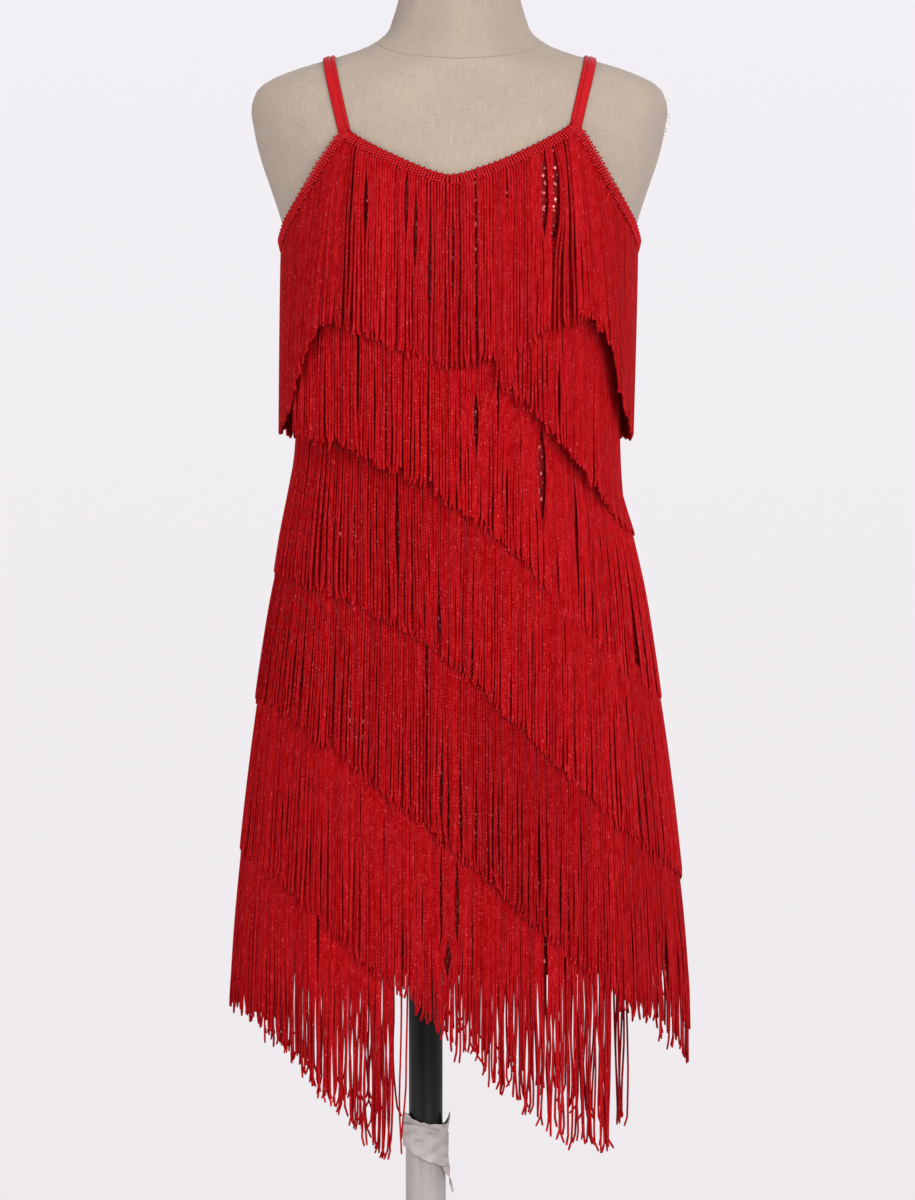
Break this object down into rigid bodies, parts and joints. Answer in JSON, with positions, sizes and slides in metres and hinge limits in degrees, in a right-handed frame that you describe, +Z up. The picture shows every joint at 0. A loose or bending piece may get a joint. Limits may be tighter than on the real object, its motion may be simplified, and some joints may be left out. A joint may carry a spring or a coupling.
{
  "type": "fringed latin dance dress on a linen dress form with a pole stand",
  "caption": "Red camisole dance dress with slanting rows of long fringe, worn by a limbless linen dress form on a telescoping pole and round base.",
  "frame": {"origin": "middle of the base's underside, on the floor under the pole", "axes": "+Z up along the pole, -Y the way the dress's front faces, +X to the right in a front view"},
  "size_m": [0.4005, 0.33, 1.47],
  "materials": {
    "sequin_cloth": "stretch cloth with small flat red sequins",
    "strap_cloth": "smooth bright red binding, stitched along one edge",
    "fringe_yarn": "twisted chainette yarn on a ribbed header tape, soft silky sheen",
    "linen": "natural slubby linen, matt",
    "black_pole": "black semi-gloss paint",
    "grey_pole": "light grey satin paint",
    "white_tape": "crumpled white tape",
    "base_paint": "black satin paint"
  },
  "bodies": {
    "root": {"dress_front": "sequin_cloth", "dress_back": "sequin_cloth", "strap_left": "strap_cloth", "strap_right": "strap_cloth", "fringe_top": "fringe_yarn", "fringe_bust": "fringe_yarn", "fringe_waist": "fringe_yarn", "fringe_hip": "fringe_yarn", "fringe_thigh": "fringe_yarn", "fringe_hem": "fringe_yarn", "fringe_tail": "fringe_yarn", "form_torso": "linen", "pole_upper": "black_pole", "pole_lower": "grey_pole", "pole_band": "white_tape", "base_plate": "base_paint"}
  },
  "joints": []
}
